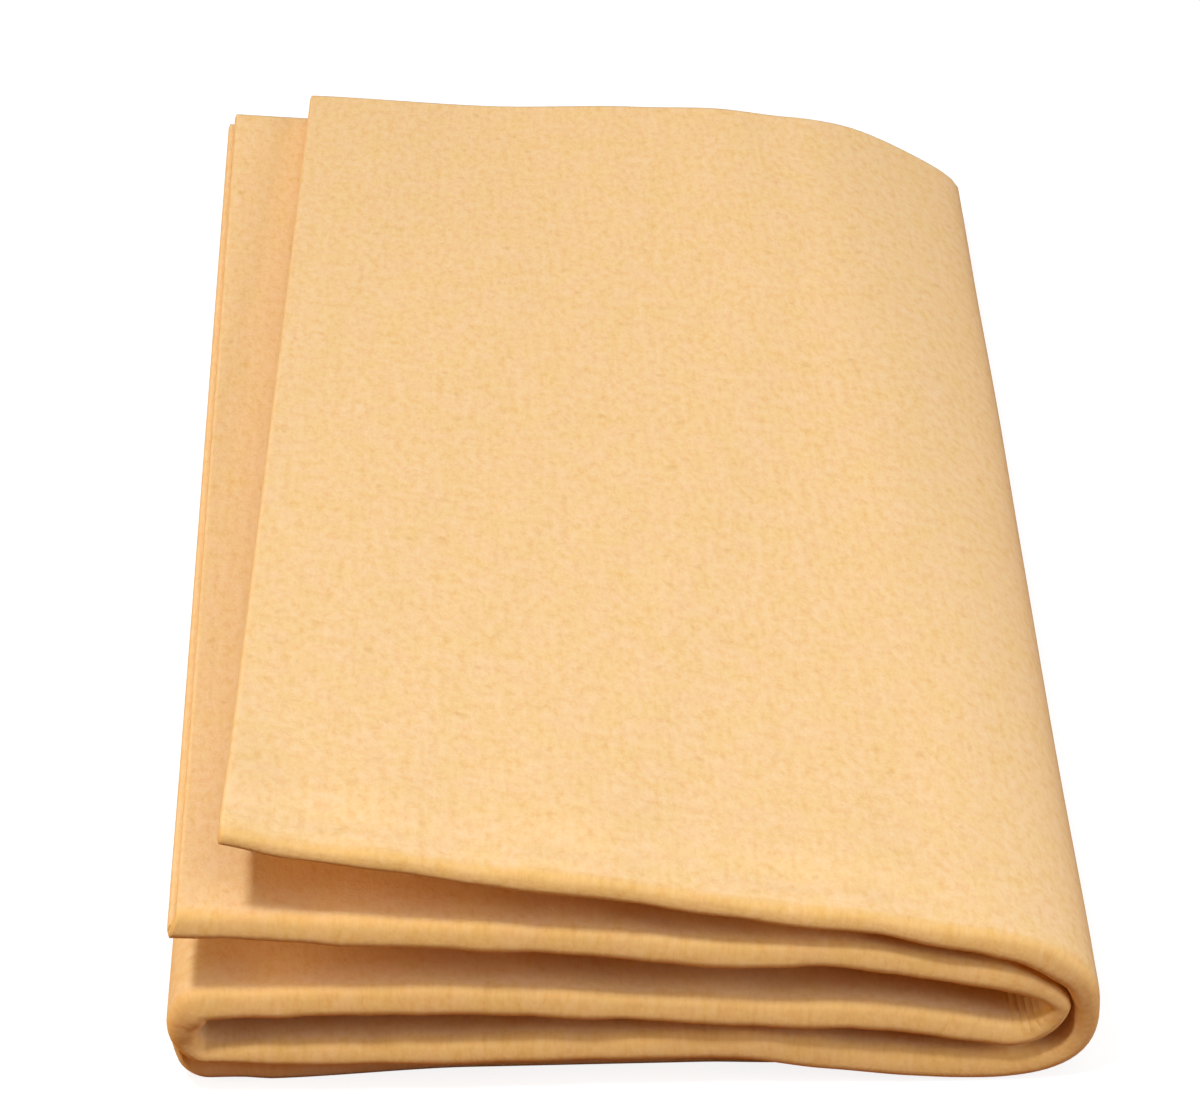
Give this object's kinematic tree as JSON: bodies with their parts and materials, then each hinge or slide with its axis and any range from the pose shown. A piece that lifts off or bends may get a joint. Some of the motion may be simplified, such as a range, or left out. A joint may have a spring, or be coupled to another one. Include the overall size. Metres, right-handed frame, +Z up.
{
  "type": "synthetic chamois cloth",
  "caption": "Soft felted synthetic chamois, doubled along its front crease and folded over itself into a loose pack, for wiping and drying glass, floors and cars.",
  "frame": {"origin": "under the middle of the folded cloth, on the surface that it lies on", "axes": "+X from the left fold to the outer fold, +Y from the front crease to the cut edges at the back, +Z up"},
  "size_m": [0.1244, 0.2, 0.0488],
  "materials": {
    "felted_cloth": "matt needle-felted nap, pale apricot buff"
  },
  "bodies": {
    "folded_base": {"bottom_leaf_lower_ply": "felted_cloth", "bottom_leaf_upper_ply": "felted_cloth", "bottom_leaf_front_crease": "felted_cloth", "outer_fold_lower_outer_ply": "felted_cloth", "outer_fold_lower_inner_ply": "felted_cloth", "outer_fold_lower_front_crease": "felted_cloth", "left_fold_outer_ply": "felted_cloth", "left_fold_inner_ply": "felted_cloth", "left_fold_front_crease": "felted_cloth", "third_leaf_upper_ply": "felted_cloth", "third_leaf_lower_ply": "felted_cloth", "third_leaf_front_crease": "felted_cloth", "inner_fold_lower_inner_ply": "felted_cloth", "inner_fold_lower_outer_ply": "felted_cloth", "inner_fold_lower_front_crease": "felted_cloth"},
    "top_leaf": {"top_leaf_upper_ply": "felted_cloth", "top_leaf_lower_ply": "felted_cloth", "top_leaf_front_crease": "felted_cloth", "outer_fold_upper_outer_ply": "felted_cloth", "outer_fold_upper_inner_ply": "felted_cloth", "outer_fold_upper_front_crease": "felted_cloth"},
    "second_leaf": {"second_leaf_lower_ply": "felted_cloth", "second_leaf_upper_ply": "felted_cloth", "second_leaf_front_crease": "felted_cloth", "inner_fold_upper_inner_ply": "felted_cloth", "inner_fold_upper_outer_ply": "felted_cloth", "inner_fold_upper_front_crease": "felted_cloth"}
  },
  "joints": [
    {"name": "top_leaf_unfold", "type": "hinge", "parent": "folded_base", "child": "top_leaf", "pos_m": [0.0622, 0, 0.00807], "axis": [0, 0.9997, -0.0261], "range_deg": [0, 150]},
    {"name": "second_leaf_unfold", "type": "hinge", "parent": "folded_base", "child": "second_leaf", "pos_m": [0.05373, 0, 0.01135], "axis": [-0.0444, 0.9988, -0.0187], "range_deg": [0, 120]}
  ],
  "couplings": [
    {"joint": "second_leaf_unfold", "follows": "top_leaf_unfold", "ratio": 0.8}
  ]
}
